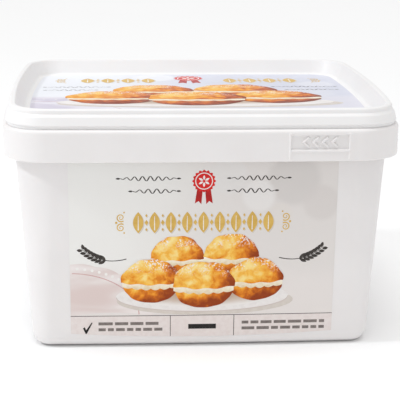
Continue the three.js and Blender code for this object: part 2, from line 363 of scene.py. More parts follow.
# Plastic and floor colours, linear
TUB_PALE = (0.862, 0.838, 0.834, 1)
TUB_DEEP = (0.842, 0.816, 0.811, 1)
LID_PALE = (0.894, 0.882, 0.88, 1)
LID_DEEP = (0.879, 0.865, 0.862, 1)
FLOOR_DEEP = (0.97, 0.97, 0.97, 1)
FLOOR_PALE = (0.985, 0.985, 0.985, 1)

# Studio light and floor
FLOOR_HALF = 30.0
WORLD_STRENGTH = 0.59
KEY_PLACE = (-0.79, -0.2, 0.74)
KEY_POWER = 2.9
KEY_SIZE = 0.09
KEY_COLOUR = (0.93, 0.97, 1.0)
TOP_PLACE = (0, -0.2, 1.6)
TOP_POWER = 1.2
TOP_ANGLE = math.radians(40)

# Camera: where the photograph was taken from
CAMERA_AZIMUTH = math.radians(-3.854)
CAMERA_ELEVATION = math.radians(14.354)
CAMERA_DISTANCE = 718.85 * MM
CAMERA_TARGET = Vector((3.575, 0, 57.18)) * MM
CAMERA_ROLL = math.radians(0.473)
CAMERA_LENS = 117.25
CAMERA_SENSOR = 36
CAMERA_CLIP = 10 * MM


# Outlines and lofted solids

def bow_radius(half_length, bow):
    """Radius of the arc that bows out over a length."""
    return (half_length ** 2 + bow ** 2) / (2 * bow)


FRONT_RADIUS = bow_radius(HALF_WIDTH, FRONT_BOW)
SIDE_RADIUS = bow_radius(HALF_DEPTH, SIDE_BOW)
FRONT_CENTRE = np.array([0, FRONT_RADIUS - HALF_DEPTH])
SIDE_CENTRE = np.array([HALF_WIDTH - SIDE_RADIUS, 0])
EVEN_FRONT = np.linspace(0, 1, FRONT_STEPS + 1)


def unit_circle(angles):
    return np.stack([np.cos(angles), np.sin(angles)], axis=-1)


def arc(centre, radius, angles):
    return centre + radius * unit_circle(angles)


def turned(points, angle):
    """Flat points turned counter-clockwise about the origin."""
    cos, sin = math.cos(angle), math.sin(angle)
    return points @ np.array([[cos, sin], [-sin, cos]])


def corner_centre(front_reach, side_reach):
    """Centre of the corner arc that touches the front arc and the side arc from inside."""
    span = np.linalg.norm(SIDE_CENTRE - FRONT_CENTRE)
    to_side = (SIDE_CENTRE - FRONT_CENTRE) / span
    along = (front_reach ** 2 - side_reach ** 2 + span ** 2) / (2 * span)
    across = math.sqrt(front_reach ** 2 - along ** 2)
    return FRONT_CENTRE + along * to_side + across * np.array([-to_side[1], to_side[0]])


def quarter(inset, corner, front_fractions):
    """Points from the middle of the front to the middle of the right side."""
    middle = corner_centre(FRONT_RADIUS - inset - corner, SIDE_RADIUS - inset - corner)
    front_end = math.atan2(*(middle - FRONT_CENTRE)[::-1])
    side_start = math.atan2(*(middle - SIDE_CENTRE)[::-1])
    front_angles = -math.pi / 2 + front_fractions * (front_end + math.pi / 2)
    corner_angles = np.linspace(front_end, side_start, CORNER_STEPS + 1)[1:]
    side_angles = np.linspace(side_start, 0, SIDE_STEPS + 1)[1:]
    return np.concatenate([
        arc(FRONT_CENTRE, FRONT_RADIUS - inset, front_angles),
        arc(middle, corner, corner_angles),
        arc(SIDE_CENTRE, SIDE_RADIUS - inset, side_angles),
    ])


def outline(inset, corner, right_front=EVEN_FRONT):
    """Bowed rectangle with round corners, counter-clockwise seen from above."""
    ahead = quarter(inset, corner, EVEN_FRONT)
    back = ahead[::-1]
    return np.concatenate([
        quarter(inset, corner, right_front)[1:],
        back[1:] * (1, -1),
        ahead[1:] * (-1, -1),
        back[1:] * (-1, 1),
    ])


def rounded_profile(corners):
    """Profile through (inset, z, radius) corners, each rounded to its radius."""
    points = [np.array(corners[0][:2])]
    for before, here, after in zip(corners, corners[1:], corners[2:]):
        place = np.array(here[:2])
        back = np.array(before[:2]) - place
        on = np.array(after[:2]) - place
        back /= np.linalg.norm(back)
        on /= np.linalg.norm(on)
        half_angle = math.acos(np.clip(back @ on, -1, 1)) / 2
        centre = place + (back + on) / np.linalg.norm(back + on) * here[2] / math.sin(half_angle)
        start = place + back * here[2] / math.tan(half_angle) - centre
        end = place + on * here[2] / math.tan(half_angle) - centre
        turn = math.atan2(start[0] * end[1] - start[1] * end[0], start @ end)
        steps = max(2, math.ceil(abs(turn) / ROUND_STEP))
        points += [centre + turned(start, turn * step / steps) for step in range(steps + 1)]
    points.append(np.array(corners[-1][:2]))
    return points


def split_long(points, spacing):
    """Adds points along the stretches longer than the spacing."""
    out = [points[0]]
    for here, after in zip(points, points[1:]):
        pieces = max(1, math.ceil(np.linalg.norm(after - here) / spacing))
        out += [here + (after - here) * (piece + 1) / pieces for piece in range(pieces)]
    return out


def ring_at(points, z):
    return np.column_stack([points, np.full(len(points), z)])


def loft(rings):
    """Points and faces of the closed solid through rings, both ends flat."""
    count = len(rings[0])
    ends = [[0, 0, rings[0][0, 2]], [0, 0, rings[-1][0, 2]]]
    points = np.concatenate([*rings, ends])
    underside = len(points) - 2
    here = np.arange(count)
    after = np.roll(here, -1)
    faces = []
    for level in range(len(rings) - 1):
        low = level * count
        high = low + count
        faces += np.stack([low + here, low + after, high + after, high + here], axis=1).tolist()
    last = (len(rings) - 1) * count
    faces += np.stack([np.full(count, underside), after, here], axis=1).tolist()
    faces += np.stack([last + here, last + after, np.full(count, underside + 1)], axis=1).tolist()
    return points, faces


def add_object(name, data):
    """New object in the scene."""
    thing = bpy.data.objects.new(name, data)
    bpy.context.scene.collection.objects.link(thing)
    return thing


def make_piece(name, points, faces, material, slot):
    """Smooth mesh that rides on the tub, with its material; the slot is not used."""
    mesh = bpy.data.meshes.new(name)
    mesh.from_pydata(np.asarray(points).tolist(), [], faces)
    mesh.polygons.foreach_set("use_smooth", [True] * len(mesh.polygons))
    mesh.update()
    mesh.materials.append(material)
    piece = add_object(name, mesh)
    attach(piece, "root")
    return piece


def weigh_normals(piece):
    """Keeps the broad faces flat in shading beside their small round edges."""
    weighted = piece.modifiers.new("broad_faces", "WEIGHTED_NORMAL")
    weighted.weight = 100


# Node materials

def srgb(red, green, blue):
    """Linear colour from 8-bit values."""
    def linear(value):
        value /= 255
        return value / 12.92 if value <= 0.04045 else ((value + 0.055) / 1.055) ** 2.4
    return (linear(red), linear(green), linear(blue), 1)


def add_node(tree, kind, inputs=None, **settings):
    node = tree.nodes.new(kind)
    for name, value in settings.items():
        setattr(node, name, value)
    for socket, value in (inputs or {}).items():
        if isinstance(value, bpy.types.NodeSocket):
            tree.links.new(value, node.inputs[socket])
        else:
            node.inputs[socket].default_value = value
    return node


def calc(tree, operation, *values):
    return add_node(tree, "ShaderNodeMath", dict(enumerate(values)), operation=operation).outputs[0]


def weighted_sum(tree, *terms):
    """Sum of values, each times its weight."""
    value, weight = terms[0]
    total = calc(tree, "MULTIPLY", value, weight)
    for value, weight in terms[1:]:
        total = calc(tree, "MULTIPLY_ADD", value, weight, total)
    return total


def squared_reach(tree, across, up):
    return calc(tree, "ADD", calc(tree, "MULTIPLY", across, across), calc(tree, "MULTIPLY", up, up))


def object_coordinates(tree):
    return add_node(tree, "ShaderNodeTexCoord").outputs["Object"]


def noise(tree, scale, detail=2.0, distortion=0.0, where=None):
    where = where or object_coordinates(tree)
    inputs = {"Vector": where, "Scale": scale, "Detail": detail, "Distortion": distortion}
    return add_node(tree, "ShaderNodeTexNoise", inputs).outputs["Fac"]


def soften(tree, value, low, high, to_low=0.0, to_high=1.0):
    """Smooth step from one range to another."""
    inputs = {"Value": value, 1: low, 2: high, 3: to_low, 4: to_high}
    return add_node(tree, "ShaderNodeMapRange", inputs, interpolation_type="SMOOTHSTEP").outputs[0]


def mix(tree, factor, first, second):
    inputs = {0: factor, 6: first, 7: second}
    return add_node(tree, "ShaderNodeMix", inputs, data_type="RGBA").outputs[2]


def ramp(tree, factor, stops):
    """Colour from (place, colour) stops."""
    node = add_node(tree, "ShaderNodeValToRGB", {0: factor})
    elements = node.color_ramp.elements
    while len(elements) < len(stops):
        elements.new(1.0)
    for element, (place, colour) in zip(elements, stops):
        element.position = place
        element.color = colour
    return node.outputs["Color"]


def shade_coordinates(tree):
    """Across and up within a pictured thing, as its mesh's shade layer gives them."""
    where = add_node(tree, "ShaderNodeUVMap", uv_map="shade").outputs["UV"]
    parts = add_node(tree, "ShaderNodeSeparateXYZ", {0: where})
    return parts.outputs[0], parts.outputs[1]


def new_material(name, roughness):
    material = bpy.data.materials.new(name)
    material.use_nodes = True
    tree = material.node_tree
    shader = tree.nodes["Principled BSDF"]
    shader.inputs["Roughness"].default_value = roughness
    return material, tree, shader


def vary_gloss(tree, shader, spread, scale, detail=2.0):
    """Lets the roughness wander to each side of its set value."""
    middle = shader.inputs["Roughness"].default_value
    wander = noise(tree, scale, detail)
    rough = soften(tree, wander, low=0.3, high=0.7, to_low=middle - spread, to_high=middle + spread)
    tree.links.new(rough, shader.inputs["Roughness"])


def paint(tree, shader, colour):
    tree.links.new(colour, shader.inputs["Base Color"])


def plastic_material(name, pale, deep):
    """White polypropylene: a faint cloudiness, an uneven satin gloss and a fine moulded skin."""
    material, tree, shader = new_material(name, roughness=0.4)
    cloud = noise(tree, scale=45, detail=4.0)
    paint(tree, shader, mix(tree, soften(tree, cloud, low=0.3, high=0.7), pale, deep))
    vary_gloss(tree, shader, spread=0.06, scale=220, detail=3.0)
    skin = noise(tree, scale=1400)
    bump = add_node(tree, "ShaderNodeBump", {"Height": skin, "Strength": 0.06, "Distance": 0.1 * MM})
    tree.links.new(bump.outputs["Normal"], shader.inputs["Normal"])
    shader.inputs["Subsurface Weight"].default_value = 0.08
    shader.inputs["Subsurface Radius"].default_value = (1.0, 0.85, 0.75)
    shader.inputs["Subsurface Scale"].default_value = 2 * MM
    return material


def print_material(name):
    """Printed film: satin gloss, slightly uneven."""
    material, tree, shader = new_material(name, roughness=0.38)
    shader.inputs["Specular IOR Level"].default_value = 0.25
    vary_gloss(tree, shader, spread=0.05, scale=160)
    return material, tree, shader


def ink_material(name, colour, shade):
    """One ink, a little uneven in its cover."""
    material, tree, shader = print_material(name)
    cover = noise(tree, scale=420, detail=3.0)
    paint(tree, shader, mix(tree, soften(tree, cover, low=0.35, high=0.7), colour, shade))
    return material


def pastry_material(name, *browns):
    """Pictured choux crust: a lit dome with lumps and browning, sugar on its top."""
    material, tree, shader = print_material(name)
    across, up = shade_coordinates(tree)
    where = object_coordinates(tree)
    fall = calc(tree, "SUBTRACT", 1.0, squared_reach(tree, across, up))
    dome = calc(tree, "SQRT", calc(tree, "MAXIMUM", fall, 0.0))
    lumps = noise(tree, scale=230, detail=4.0, distortion=0.8)
    crags = add_node(tree, "ShaderNodeTexVoronoi", {"Vector": where, "Scale": 210}, feature="SMOOTH_F1")
    grain = noise(tree, scale=900)
    tone = weighted_sum(
        tree, (across, -0.3), (up, 0.42), (dome, 0.42),
        (lumps, 0.9), (crags.outputs["Distance"], -0.55), (grain, 0.2),
    )
    stops = list(zip((0.0, 0.25, 0.5, 0.78, 1.0), browns))
    crust = ramp(tree, soften(tree, tone, low=0.1, high=1.2), stops)
    grains = soften(tree, noise(tree, scale=1250, detail=1.0), low=0.5, high=0.6)
    drifts = soften(tree, noise(tree, scale=260), low=0.35, high=0.6)
    top = soften(tree, up, low=0.3, high=0.75)
    sugar = calc(tree, "MULTIPLY", grains, calc(tree, "MULTIPLY", drifts, top))
    paint(tree, shader, mix(tree, sugar, crust, srgb(248, 241, 236)))
    return material


def cream_material(name):
    """Pictured piped cream, lighter on its upper side."""
    material, tree, shader = print_material(name)
    _, up = shade_coordinates(tree)
    folds = noise(tree, scale=420, distortion=0.5)
    tone = weighted_sum(tree, (up, 0.4), (folds, 0.8))
    stops = [(0.0, srgb(222, 200, 160)), (0.5, srgb(243, 231, 206)), (1.0, srgb(252, 247, 236))]
    paint(tree, shader, ramp(tree, soften(tree, tone, low=-0.2, high=1.0), stops))
    return material


def plate_material(name):
    """Pictured porcelain, shaded under the food and fading to its pale edge."""
    material, tree, shader = print_material(name)
    reach = squared_reach(tree, *shade_coordinates(tree))
    cloud = noise(tree, scale=130)
    tone = weighted_sum(tree, (reach, 1.0), (cloud, 0.25))
    stops = [(0.0, srgb(196, 172, 152)), (0.55, srgb(222, 210, 202)), (1.0, srgb(240, 236, 233))]
    paint(tree, shader, ramp(tree, soften(tree, tone, low=0.1, high=1.1), stops))
    return material


def cloth_material(name, deep, middle, pale):
    """Pictured cloth, in soft folds."""
    material, tree, shader = print_material(name)
    stretch = {"Vector": object_coordinates(tree), "Rotation": (0.5, 0.7, 0.6), "Scale": (0.3, 1.0, 1.2)}
    stretched = add_node(tree, "ShaderNodeMapping", stretch).outputs[0]
    folds = noise(tree, scale=90, distortion=0.4, where=stretched)
    stops = [(0.0, deep), (0.5, middle), (1.0, pale)]
    paint(tree, shader, ramp(tree, soften(tree, folds, low=0.3, high=0.7), stops))
    return material


def ground_material(name, up_axis, base, right_tone, near_tone, horizon, discs):
    """Label ground: far and near fields, greyer to the right, with soft discs out of focus."""
    material, tree, shader = print_material(name)
    parts = add_node(tree, "ShaderNodeSeparateXYZ", {0: object_coordinates(tree)})
    across = parts.outputs[0]
    up = parts.outputs[up_axis]
    flat = add_node(tree, "ShaderNodeCombineXYZ", {0: across, 1: up}).outputs[0]
    drift = calc(tree, "MULTIPLY_ADD", noise(tree, scale=26), GROUND_DRIFT, across)
    colour = mix(tree, soften(tree, drift, low=GROUND_LEFT, high=GROUND_RIGHT), base, right_tone)
    near = soften(tree, up, low=horizon + HORIZON_ABOVE, high=horizon - HORIZON_BELOW)
    colour = mix(tree, near, colour, near_tone)
    for x, y, radius, tone in discs:
        middle = (x * MM, y * MM, 0)
        away = add_node(tree, "ShaderNodeVectorMath", {0: flat, 1: middle}, operation="DISTANCE")
        outer = (1 + DISC_BLUR) * radius * MM
        inner = (1 - DISC_BLUR) * radius * MM
        cover = soften(tree, away.outputs["Value"], low=outer, high=inner, to_high=DISC_COVER)
        colour = mix(tree, cover, colour, tone)
    paint(tree, shader, colour)
    return material


# Tub

def wall_inset(z):
    return WALL_INSET_BASE + (WALL_INSET_COLLAR - WALL_INSET_BASE) * z / COLLAR_BOTTOM


def tub_corner(inset, z):
    """Corner radius of the tub's outline at a point of its profile."""
    if z > COLLAR_BOTTOM - PROFILE_SLACK and inset < COLLAR_TOP_WIDTH + COLLAR_SLACK:
        return COLLAR_CORNER - inset
    if inset > FOOT_INSET - PROFILE_SLACK:
        return BASE_FILLET
    wall = WALL_CORNER_BASE + (WALL_CORNER_COLLAR - WALL_CORNER_BASE) * z / COLLAR_BOTTOM
    return max(FOOT_CORNER, wall + wall_inset(z) - inset)


def tub_profile():
    """Insets and heights from the underside to the top, close together on the collar's face."""
    corners = [
        (FOOT_INSET + RECESS_MARGIN, BASE_RECESS, 0),
        (FOOT_INSET + RECESS_SLOPE, BASE_RECESS, RECESS_ROUND),
        (FOOT_INSET, 0, FOOT_ROUND),
        (WALL_INSET_BASE, 0, BASE_FILLET),
        (wall_inset(GAP_TOP), GAP_TOP, GAP_WALL_ROUND),
        (COLLAR_THICKNESS, GAP_TOP, GAP_COLLAR_ROUND),
        (COLLAR_THICKNESS, COLLAR_BOTTOM, COLLAR_EDGE),
        (0, COLLAR_BOTTOM, COLLAR_EDGE),
        (0, COLLAR_TOP, COLLAR_BEAD),
        (COLLAR_TOP_WIDTH, COLLAR_TOP, COLLAR_TOP_ROUND),
        (COLLAR_TOP_WIDTH, TUB_TOP, 0),
    ]
    profile = split_long(rounded_profile(corners), LEVEL_SPACING)
    on_face = [inset < FACE_TOLERANCE for inset, z in profile]
    first = on_face.index(True)
    end = len(on_face) - on_face[::-1].index(True)
    profile[first:end] = split_long(profile[first:end], TAB_SPACING)
    return profile


def smooth_inside(distance):
    """1 inside a shape, 0 outside, with a soft edge."""
    t = np.clip(0.5 - distance / (2 * TAB_SOFTNESS), 0, 1)
    return t * t * (3 - 2 * t)


def box_distance(x, z, left, right, bottom, top):
    return np.maximum.reduce([left - x, x - right, bottom - z, z - top])


def segment_distance(x, z, start, end):
    along = np.subtract(end, start)
    dx = x - start[0]
    dz = z - start[1]
    t = np.clip((dx * along[0] + dz * along[1]) / (along @ along), 0, 1)
    return np.hypot(dx - t * along[0], dz - t * along[1])


def tab_relief(x, z):
    """How far the collar's face stands out at the tab: its recess, ridges and chevrons."""
    inner_left = TAB_LEFT + TAB_RIDGE_WIDTH
    inner_right = TAB_RIGHT - TAB_RIDGE_WIDTH
    low = COLLAR_BOTTOM + TAB_RIDGE_LIFT
    top = COLLAR_TOP - COLLAR_BEAD
    recess = smooth_inside(box_distance(x, z, inner_left, inner_right, TAB_FLOOR, TAB_TOP))
    ridges = np.maximum.reduce([
        smooth_inside(box_distance(x, z, TAB_LEFT, inner_left, low, top)),
        smooth_inside(box_distance(x, z, inner_right, TAB_RIGHT, low, top)),
        smooth_inside(box_distance(x, z, TAB_LEFT, TAB_RIGHT, TAB_FLOOR - TAB_RIDGE_WIDTH, TAB_FLOOR)),
    ])
    level = (TAB_FLOOR + TAB_TOP) / 2
    middle = (TAB_LEFT + TAB_RIGHT) / 2
    chevrons = np.zeros_like(x)
    for place in range(CHEVRON_COUNT):
        centre = middle + (place - (CHEVRON_COUNT - 1) / 2) * CHEVRON_PITCH
        tip = (centre - CHEVRON_HALF_WIDTH, level)
        for end in (-CHEVRON_HALF_HEIGHT, CHEVRON_HALF_HEIGHT):
            away = segment_distance(x, z, tip, (centre + CHEVRON_HALF_WIDTH, level + end))
            chevrons = np.maximum(chevrons, smooth_inside(away - CHEVRON_STROKE / 2))
    return TAB_RIDGE_HEIGHT * ridges - TAB_RECESS * recess + CHEVRON_RELIEF * chevrons


def press_tab(ring):
    """Moves the points of a ring on the collar's face in and out at the tab."""
    x, y, z = ring.T
    near = (y < 0) & (x > TAB_LEFT - TAB_MARGIN) & (x < TAB_RIGHT + TAB_MARGIN)
    relief = tab_relief(x[near], z[near])
    ring[near, 0] += relief * ring[near, 0] / FRONT_RADIUS
    ring[near, 1] -= relief


def tab_fractions():
    """Steps along the right half of the front, fine across the tab."""
    half_front = HALF_WIDTH - COLLAR_CORNER
    first = (TAB_LEFT - TAB_FINE_MARGIN) / half_front
    last = (TAB_RIGHT + TAB_FINE_MARGIN) / half_front
    return np.concatenate([
        np.linspace(0, first, STEPS_BEFORE_TAB, endpoint=False),
        np.arange(first, last, TAB_SPACING / half_front),
        np.linspace(last, 1, STEPS_AFTER_TAB + 1),
    ])


def make_tub(material):
    fractions = tab_fractions()
    rings = []
    for inset, z in tub_profile():
        ring = ring_at(outline(inset, tub_corner(inset, z), fractions), z)
        if inset < FACE_TOLERANCE:
            press_tab(ring)
        rings.append(ring)
    tub = make_piece("tub_moulding", *loft(rings), material, "tub_plastic")
    weigh_normals(tub)
    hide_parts("tub")


# Lid

def make_lid(material):
    seat = COLLAR_TOP + LID_SEAT_GAP
    well_foot = LID_RIM_INNER + (HEIGHT - LID_PANEL) * math.tan(LID_WELL_TILT)
    corners = [
        (LID_PLUG_INSET, LID_BOTTOM, 0),
        (LID_PLUG_INSET, seat, LID_PLUG_ROUND),
        (LID_SEAT_INSET, seat, LID_SEAT_ROUND),
        (LID_SEAT_INSET, LID_SKIRT_BOTTOM, LID_SKIRT_ROUND_IN),
        (LID_SKIRT_INSET, LID_SKIRT_BOTTOM, LID_SKIRT_ROUND_OUT),
        (LID_FACE_INSET, LID_FACE_TOP, LID_FACE_ROUND),
        (LID_RIM_INSET, LID_SHOULDER_TOP, LID_SHOULDER_ROUND),
        (LID_RIM_INSET, HEIGHT, LID_RIM_ROUND),
        (LID_RIM_INNER, HEIGHT, LID_RIM_ROUND),
        (well_foot, LID_PANEL, LID_WELL_FILLET),
        (well_foot + LID_PANEL_MARGIN, LID_PANEL, 0),
    ]
    crest = LID_RIM_INSET + LID_RIM_ROUND
    corner_end = well_foot + LID_WELL_CORNER_REACH
    rings = []
    for inset, z in split_long(rounded_profile(corners), LEVEL_SPACING):
        inward = np.clip((inset - crest) / (corner_end - crest), 0, 1)
        corner = LID_CORNER + (LID_WELL_CORNER - LID_CORNER) * inward
        rings.append(ring_at(outline(inset, corner), z))
    lid = make_piece("lid_moulding", *loft(rings), material, "lid_plastic")
    weigh_normals(lid)
    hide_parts("lid")


# Films

def on_front(x, z, height):
    """Points at a height over the front wall."""
    wall = FRONT_RADIUS - wall_inset(z) + height
    return np.stack([x, FRONT_CENTRE[1] - np.sqrt(wall ** 2 - x ** 2), z], axis=-1)


def on_lid(x, y, height):
    """Points at a height over the lid's panel."""
    return np.stack([x, y, np.full_like(x, LID_PANEL + height)], axis=-1)


def front_bottom(x):
    """Height of the front label's lower edge."""
    return FRONT_BOTTOM + FRONT_END_RISE * (x / FRONT_HALF) ** 2


def grid_faces(columns, rows):
    stride = columns + 1
    first = (np.arange(rows)[:, None] * stride + np.arange(columns)).reshape(-1, 1)
    return (first + (0, 1, stride + 1, stride)).tolist()


def make_front_film(material):
    across, up = np.meshgrid(np.linspace(-1, 1, FILM_COLUMNS + 1), np.linspace(0, 1, FILM_ROWS + 1))
    x = across * FRONT_HALF
    bottom = front_bottom(x)
    z = bottom + (FRONT_TOP - bottom) * up
    points = on_front(x, z, FILM_HEIGHT).reshape(-1, 3)
    film = make_piece("front_film", points, grid_faces(FILM_COLUMNS, FILM_ROWS), material, "front_film")
    thicken = film.modifiers.new("film", "SOLIDIFY")
    thicken.thickness = FILM_HEIGHT - FILM_GAP
    thicken.offset = -1
    weigh_normals(film)
    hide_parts("front_label")


def make_lid_film(material):
    edge = outline(LID_FILM_INSET, LID_LABEL_CORNER)
    rings = [ring_at(edge, LID_PANEL + FILM_GAP), ring_at(edge, LID_PANEL + FILM_HEIGHT)]
    film = make_piece("lid_film", *loft(rings), material, "lid_film")
    weigh_normals(film)
    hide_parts("lid_label")


# Print: shapes in millimetres, gathered into one mesh for each ink

class Sheet:
    """The print on one label."""

    def __init__(self, name, surface, slot):
        self.name = name
        self.surface = surface
        self.slot = slot
        self.shapes = {}

    def add(self, ink, points, shade, faces, layer):
        """Takes flat points, their shading coordinates and faces, as one layer of an ink."""
        x, y = points.T * MM
        placed = self.surface(x, y, FILM_HEIGHT + (layer + 1) * INK_STEP)
        self.shapes.setdefault(ink, []).append((placed, shade, faces))

    def make(self, inks):
        for ink, shapes in self.shapes.items():
            points = np.concatenate([placed for placed, _, _ in shapes])
            shade = np.concatenate([coordinates for _, coordinates, _ in shapes])
            faces = []
            start = 0
            for placed, _, shape_faces in shapes:
                faces += [[start + index for index in face] for face in shape_faces]
                start += len(placed)
            piece = make_piece(f"{self.name}_{ink}", points, faces, inks[ink], self.slot)
            layer = piece.data.uv_layers.new(name="shade")
            corners = np.empty(len(piece.data.loops), dtype=int)
            piece.data.loops.foreach_get("vertex_index", corners)
            layer.data.foreach_set("uv", shade[corners].ravel())


class Place:
    """Where a motif goes on a sheet: its middle, scale and turn, mirrored left to right by -1."""

    def __init__(self, sheet, middle=(0, 0), scale=1.0, turn=0.0, mirror=1):
        self.sheet = sheet
        self.middle = middle
        self.scale = scale
        self.turn = turn
        self.mirror = mirror

    def add(self, ink, points, shade, faces, layer):
        if self.mirror < 0:
            faces = [face[::-1] for face in faces]
        placed = (turned(points * self.scale, self.turn) + self.middle) * (self.mirror, 1)
        self.sheet.add(ink, placed, shade, faces, layer)

    def fill(self, ink, edge, layer, middle=(0, 0), half=(1, 1)):
        """A filled shape inside a closed edge, its shading measured from a middle in half sizes."""
        points, faces = filled(np.asarray(edge, dtype=float), FILL_SPACING / self.scale)
        self.add(ink, points, (points - middle) / half, faces, layer)

    def stroke(self, ink, line, width, layer):
        """A line of a width, which may change along it."""
        line = np.asarray(line, dtype=float)
        along = np.gradient(line, axis=0)
        along /= np.linalg.norm(along, axis=1, keepdims=True)
        side = np.column_stack([-along[:, 1], along[:, 0]]) * np.reshape(width, (-1, 1)) / 2
        points = np.concatenate([line - side, line + side])
        count = len(line)
        faces = [[i, i + 1, count + i + 1, count + i] for i in range(count - 1)]
        self.add(ink, points, points, faces, layer)


def inside(points, edge):
    """Which points lie inside a closed edge."""
    after = np.roll(edge, -1, axis=0)
    x, y = points[:, 0, None], points[:, 1, None]
    crosses = (edge[:, 1] > y) != (after[:, 1] > y)
    rise = np.where(after[:, 1] == edge[:, 1], LEAST_RISE, after[:, 1] - edge[:, 1])
    where = edge[:, 0] + (y - edge[:, 1]) / rise * (after[:, 0] - edge[:, 0])
    return (crosses & (x < where)).sum(axis=1) % 2 == 1


def filled(edge, spacing):
    """Triangles inside an edge, with points in between so that they follow a curved wall."""
    low, high = edge.min(axis=0), edge.max(axis=0)
    xs = np.arange(low[0] + spacing / 2, high[0], spacing)
    ys = np.arange(low[1] + spacing / 2, high[1], spacing)
    grid = np.stack(np.meshgrid(xs, ys), axis=-1).reshape(-1, 2)
    within = grid[inside(grid, edge)] if len(grid) else grid
    points = [Vector(point) for point in np.concatenate([edge, within])]
    done = delaunay_2d_cdt(points, [], [list(range(len(edge)))], KEEP_INSIDE, MERGE_DISTANCE)
    return np.array([list(point) for point in done[0]]), [list(face) for face in done[2]]


# Simple shapes of the print

def level_line(left, right, y, steps):
    return np.column_stack([np.linspace(left, right, steps), np.full(steps, y)])


def box(left, bottom, right, top):
    return np.array([[left, bottom], [right, bottom], [right, top], [left, top]])


def ellipse(centre, half, start=0.0, end=2 * math.pi, steps=OVAL_STEPS):
    angles = np.linspace(start, end, steps, endpoint=end - start < 2 * math.pi)
    return centre + unit_circle(angles) * half


def dot(centre, radius):
    return ellipse(centre, (radius, radius), steps=DOT_STEPS)


def leaf(length, width):
    """Pointed oval, standing on its middle."""
    up = np.linspace(-1, 1, LEAF_STEPS)
    half = width / 2 * (1 - up ** 2)
    right = np.column_stack([half, up * length / 2])
    return np.concatenate([right, right[::-1][1:-1] * (-1, 1)])


def lying_leaf(length, width):
    return leaf(length, width)[:, ::-1] * (1, -1)


# Motifs of the print

def rosette(place):
    """Scalloped badge with two ribbon tails."""
    for side in (-1, 1):
        tail = np.array(ROSETTE_TAIL) * (side, 1)
        place.fill("red_shade", tail[::side], DRAWING)
    angles = np.linspace(0, 2 * math.pi, BADGE_STEPS, endpoint=False)
    radius = ROSETTE_RADIUS + ROSETTE_SCALLOP_DEPTH * np.cos(ROSETTE_SCALLOPS * angles)
    place.fill("red", unit_circle(angles) * radius[:, None], OVERPRINT)
    ring = ellipse((0, 0), (ROSETTE_RING, ROSETTE_RING), end=ROSETTE_RING_TURN, steps=RING_STEPS)
    place.stroke("paper", ring, ROSETTE_RING_WIDTH, HIGHLIGHT)
    petal = leaf(PETAL_LENGTH, PETAL_WIDTH) + (0, PETAL_REACH)
    for index in range(PETALS):
        place.fill("paper", turned(petal, index * 2 * math.pi / PETALS), HIGHLIGHT)


def garland(place, length, waves):
    """Fine waving line that swells and tapers, with a small leaf at each end."""
    t = np.linspace(0, 1, CURVE_STEPS * waves)
    swell = np.sin(math.pi * t) ** GARLAND_TAPER
    phase = 2 * math.pi * waves * t
    line = np.column_stack([(t - 0.5) * length, GARLAND_SWING * swell * np.sin(phase)])
    width = GARLAND_LINE + GARLAND_SWELL * np.abs(np.cos(phase)) * swell
    place.stroke("dark", line, width, DRAWING)
    tip = lying_leaf(GARLAND_LEAF_LENGTH, GARLAND_LEAF_WIDTH)
    for side in (-1, 1):
        place.fill("dark", tip + (side * (length + GARLAND_LEAF_LENGTH) / 2, 0), DRAWING)


def gilded(place, shape, drop):
    """Gold shape over its drop shadow."""
    place.fill("drop_shadow", shape + (drop, -drop), BACKING)
    place.fill("gold", shape, DRAWING)


def leaf_band(place, count):
    """Row of upright leaves, with lozenges between them."""
    upright = leaf(BAND_LEAF_LENGTH, BAND_LEAF_WIDTH)
    lozenge = np.array([(0, -1), (1, 0), (0, 1), (-1, 0)]) * LOZENGE_HALF
    vein_height = np.linspace(*VEIN_ENDS, VEIN_STEPS)
    vein_width = np.linspace(*VEIN_WIDTHS, VEIN_STEPS)
    for index in range(count):
        x = (index - (count - 1) / 2) * BAND_PITCH
        gilded(place, upright + (x, 0), BAND_LEAF_DROP)
        vein = np.column_stack([np.full(VEIN_STEPS, x), vein_height])
        place.stroke("paper", vein, vein_width, OVERPRINT)
        if index == count - 1:
            continue
        for level in (-1, 0, 1):
            size = LOZENGE_OUTER_SIZE if level else 1
            centre = (x + BAND_PITCH / 2, level * LOZENGE_SPACING)
            gilded(place, lozenge * size + centre, LOZENGE_DROP)


def scroll(place):
    """Two spirals, one above the other, that curl from a common knot."""
    t = np.linspace(0, 1, SCROLL_STEPS)
    radius = SCROLL_INNER + SCROLL_GROWTH * t ** SCROLL_CURL
    spiral = unit_circle(SCROLL_START + SCROLL_SWEEP * t) * radius[:, None] * (-1, 1) + (0, SCROLL_RISE)
    for side in (-1, 1):
        place.stroke("gold", spiral * (1, side), SCROLL_LINE + SCROLL_SWELL * t, DRAWING)
        place.fill("gold", dot(np.array(SCROLL_DOT) * (1, side), SCROLL_DOT_RADIUS), DRAWING)
    place.fill("gold", dot(SCROLL_KNOT, SCROLL_KNOT_RADIUS), DRAWING)


def sprig(place):
    """Ear of wheat on a bent stem."""
    def stem(t):
        return np.stack([SPRIG_LENGTH * (t - 0.5), SPRIG_BEND * (2 * t - 1) ** 2 - SPRIG_DROP], axis=-1)

    t = np.linspace(0, 1, CURVE_STEPS)
    place.stroke("dark", stem(t), STEM_WIDTH - STEM_TAPER * t, DRAWING)
    for index in range(GRAIN_PAIRS):
        at = GRAIN_START + index * GRAIN_STEP
        slope = math.atan2(4 * SPRIG_BEND * (2 * at - 1), SPRIG_LENGTH)
        grain = lying_leaf(GRAIN_LENGTH - GRAIN_SHRINK * index, GRAIN_WIDTH) + (GRAIN_REACH, 0)
        for side in (-1, 1):
            place.fill("dark", turned(grain, slope + side * GRAIN_SPREAD) + stem(at), DRAWING)


